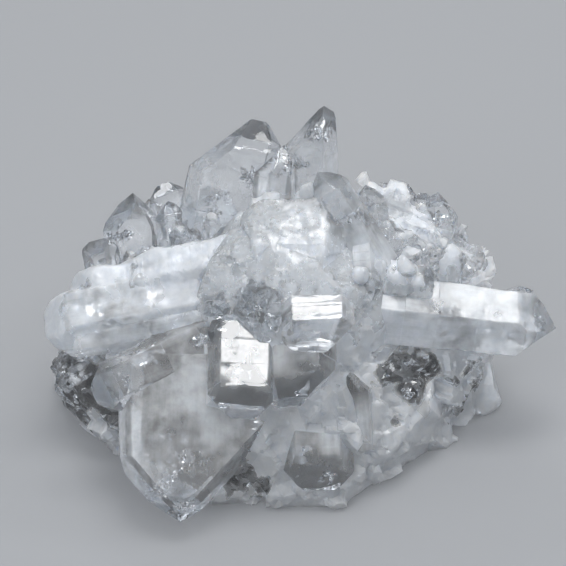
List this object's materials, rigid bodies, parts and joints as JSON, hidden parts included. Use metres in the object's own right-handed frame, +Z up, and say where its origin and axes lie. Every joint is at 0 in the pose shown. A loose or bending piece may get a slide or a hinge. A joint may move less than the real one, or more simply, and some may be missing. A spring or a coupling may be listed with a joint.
{
  "type": "quartz crystal cluster",
  "caption": "Cluster of clear and milky quartz points grown together on a broken quartz foot, cut flat underneath to rest on a shelf.",
  "frame": {"origin": "middle of the cluster's footprint box, on the flat underside", "axes": "+Z up, +X along the longest extent, towards the long right-hand point; the side seen in the picture looks along -Y"},
  "size_m": [0.0808, 0.0594, 0.0475],
  "materials": {
    "clear_quartz": "clear to milky natural quartz with bright flat growth faces and a broken foot"
  },
  "bodies": {
    "root": {"quartz_cluster": "clear_quartz"}
  },
  "joints": []
}
